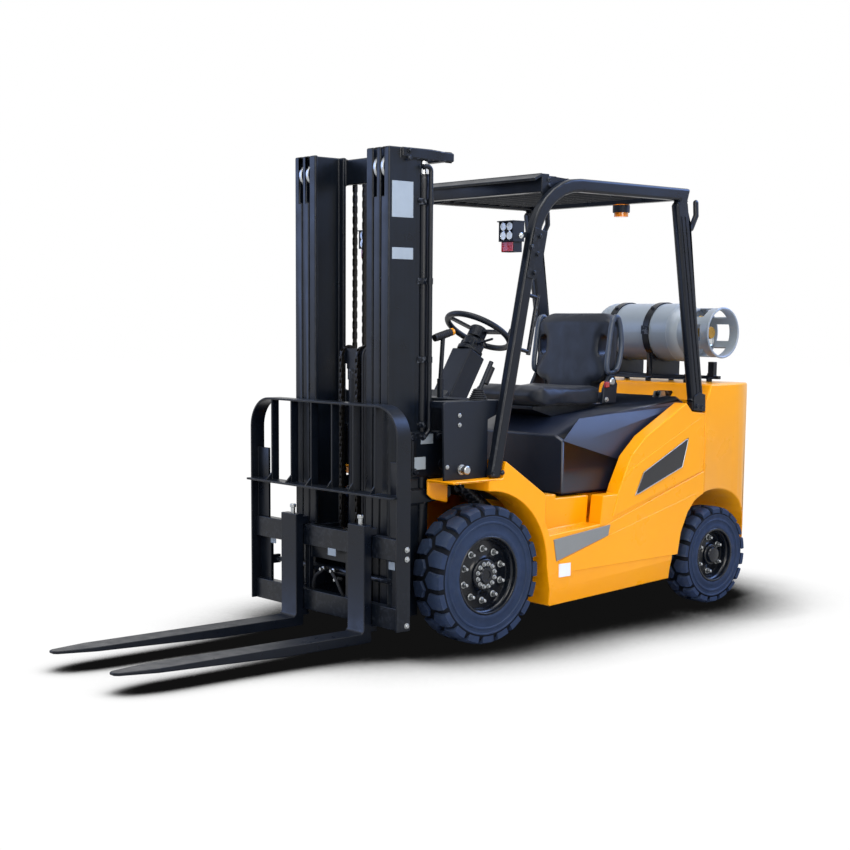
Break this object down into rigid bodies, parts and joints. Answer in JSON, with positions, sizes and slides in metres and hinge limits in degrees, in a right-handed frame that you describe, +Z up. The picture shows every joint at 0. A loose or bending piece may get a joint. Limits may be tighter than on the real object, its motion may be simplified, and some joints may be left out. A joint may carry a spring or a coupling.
{
  "type": "counterbalance forklift",
  "caption": "Gas-powered counterbalance forklift with a three-stage mast, side-shifting forks, load backrest, overhead guard and a gas bottle on the counterweight.",
  "frame": {"origin": "on the ground, under the middle of the whole length and width", "axes": "+X forwards along the forks, +Y to the truck's left, +Z up"},
  "size_m": [4.03, 1.15, 2.295],
  "materials": {
    "yellow_paint": "gloss",
    "black_paint": "satin",
    "black_plastic": "satin",
    "seat_vinyl": "satin",
    "tyre_rubber": "matte",
    "hose_rubber": "matte",
    "cast_iron": "matte",
    "chrome_rod": "polished",
    "chain_steel": "satin",
    "bottle_paint": "satin",
    "valve_brass": "satin",
    "amber_lens": "gloss",
    "red_lens": "gloss",
    "clear_lens": "gloss"
  },
  "bodies": {
    "chassis": {"frame": "yellow_paint", "side_bodies": "yellow_paint", "side_panels": "yellow_paint", "floor_plate": "black_plastic", "cowl": "black_plastic", "steering_column": "black_plastic", "control_levers": "black_plastic", "guard_sides": "black_paint", "guard_roof": "black_paint", "grab_handle": "black_paint", "counterweight": "yellow_paint", "rear_grille": "black_plastic", "hood_hinges": "black_paint", "engine": "cast_iron", "front_axle": "cast_iron", "rear_axle": "cast_iron", "lpg_bracket": "black_paint", "lpg_bottle": "bottle_paint", "lpg_valve": "valve_brass", "work_lamps": "black_plastic", "lamp_lenses": "clear_lens", "beacon": "amber_lens", "rear_lamps": "red_lens"},
    "steering_wheel": {"steering_wheel": "black_plastic"},
    "hood": {"hood": "black_plastic", "hood_pins": "black_paint", "seat_base": "black_paint", "seat_cushion": "seat_vinyl", "seat_back": "seat_vinyl"},
    "front_wheel_left": {"front_tyre_left": "tyre_rubber", "front_rim_left": "black_paint"},
    "front_wheel_right": {"front_tyre_right": "tyre_rubber", "front_rim_right": "black_paint"},
    "rear_knuckle_left": {"rear_knuckle_left": "cast_iron"},
    "rear_knuckle_right": {"rear_knuckle_right": "cast_iron"},
    "rear_wheel_left": {"rear_tyre_left": "tyre_rubber", "rear_rim_left": "black_paint"},
    "rear_wheel_right": {"rear_tyre_right": "tyre_rubber", "rear_rim_right": "black_paint"},
    "outer_mast": {"outer_mast": "black_paint", "lift_barrels": "black_paint"},
    "mid_mast": {"mid_mast": "black_paint", "lift_rods": "chrome_rod", "main_chains": "chain_steel"},
    "inner_mast": {"inner_mast": "black_paint", "free_lift_barrel": "black_paint"},
    "free_lift_head": {"free_lift_head": "black_paint", "free_chains": "chain_steel", "mast_hoses": "hose_rubber"},
    "carriage": {"carriage": "black_paint"},
    "fork_frame": {"fork_carriage": "black_paint", "shift_rod": "chrome_rod", "backrest": "black_paint", "fork_left": "black_paint", "fork_right": "black_paint"},
    "tilt_barrel_left": {"tilt_barrel_left": "black_paint"},
    "tilt_barrel_right": {"tilt_barrel_right": "black_paint"},
    "tilt_rod_left": {"tilt_rod_left": "chrome_rod"},
    "tilt_rod_right": {"tilt_rod_right": "chrome_rod"}
  },
  "joints": [
    {"name": "mast_tilt", "type": "hinge", "parent": "chassis", "child": "outer_mast", "pos_m": [0.155, 0, 0.331], "axis": [0, 1, 0], "range_deg": [-6, 6]},
    {"name": "mid_slide", "type": "slide", "parent": "outer_mast", "child": "mid_mast", "axis": [0, 0, 1], "range_m": [0, 1.45]},
    {"name": "inner_slide", "type": "slide", "parent": "mid_mast", "child": "inner_mast", "axis": [0, 0, 1], "range_m": [0, 1.45]},
    {"name": "carriage_slide", "type": "slide", "parent": "inner_mast", "child": "carriage", "axis": [0, 0, 1], "range_m": [0, 1.45]},
    {"name": "free_lift_slide", "type": "slide", "parent": "inner_mast", "child": "free_lift_head", "axis": [0, 0, 1], "range_m": [0, 0.725]},
    {"name": "side_shift", "type": "slide", "parent": "carriage", "child": "fork_frame", "axis": [0, 1, 0], "range_m": [-0.1, 0.1]},
    {"name": "steering_wheel_turn", "type": "hinge", "parent": "chassis", "child": "steering_wheel", "pos_m": [-0.297, 0, 1.468], "axis": [-0.515, 0, 0.8572], "continuous": true},
    {"name": "hood_open", "type": "hinge", "parent": "chassis", "child": "hood", "pos_m": [-1.365, 0, 1.136], "axis": [0, -1, 0], "range_deg": [0, 25]},
    {"name": "front_left_spin", "type": "hinge", "parent": "chassis", "child": "front_wheel_left", "pos_m": [0.155, 0.485, 0.331], "axis": [0, 1, 0], "continuous": true},
    {"name": "front_right_spin", "type": "hinge", "parent": "chassis", "child": "front_wheel_right", "pos_m": [0.155, -0.485, 0.331], "axis": [0, 1, 0], "continuous": true},
    {"name": "steer_left", "type": "hinge", "parent": "chassis", "child": "rear_knuckle_left", "pos_m": [-1.545, 0.4, 0.264], "axis": [0, 0, 1], "range_deg": [-65, 65]},
    {"name": "steer_right", "type": "hinge", "parent": "chassis", "child": "rear_knuckle_right", "pos_m": [-1.545, -0.4, 0.264], "axis": [0, 0, 1], "range_deg": [-65, 65]},
    {"name": "rear_left_spin", "type": "hinge", "parent": "rear_knuckle_left", "child": "rear_wheel_left", "pos_m": [-1.545, 0.491, 0.264], "axis": [0, 1, 0], "continuous": true},
    {"name": "rear_right_spin", "type": "hinge", "parent": "rear_knuckle_right", "child": "rear_wheel_right", "pos_m": [-1.545, -0.491, 0.264], "axis": [0, 1, 0], "continuous": true},
    {"name": "tilt_barrel_left_swing", "type": "hinge", "parent": "chassis", "child": "tilt_barrel_left", "pos_m": [-0.225, 0.331, 0.47], "axis": [0, 1, 0], "range_deg": [-4.2, 4.2]},
    {"name": "tilt_rod_left_slide", "type": "slide", "parent": "tilt_barrel_left", "child": "tilt_rod_left", "axis": [0.795, 0, 0.6066], "range_m": [-0.04, 0.04]},
    {"name": "tilt_barrel_right_swing", "type": "hinge", "parent": "chassis", "child": "tilt_barrel_right", "pos_m": [-0.225, -0.331, 0.47], "axis": [0, 1, 0], "range_deg": [-4.2, 4.2]},
    {"name": "tilt_rod_right_slide", "type": "slide", "parent": "tilt_barrel_right", "child": "tilt_rod_right", "axis": [0.795, 0, 0.6066], "range_m": [-0.04, 0.04]}
  ],
  "couplings": [
    {"joint": "inner_slide", "follows": "mid_slide", "ratio": 1},
    {"joint": "free_lift_slide", "follows": "carriage_slide", "ratio": 0.5},
    {"joint": "steer_right", "follows": "steer_left", "ratio": 1},
    {"joint": "tilt_barrel_left_swing", "follows": "mast_tilt", "ratio": 0.6523},
    {"joint": "tilt_rod_left_slide", "follows": "mast_tilt", "m_per_rad": 0.341},
    {"joint": "tilt_barrel_right_swing", "follows": "mast_tilt", "ratio": 0.6523},
    {"joint": "tilt_rod_right_slide", "follows": "mast_tilt", "m_per_rad": 0.341}
  ]
}
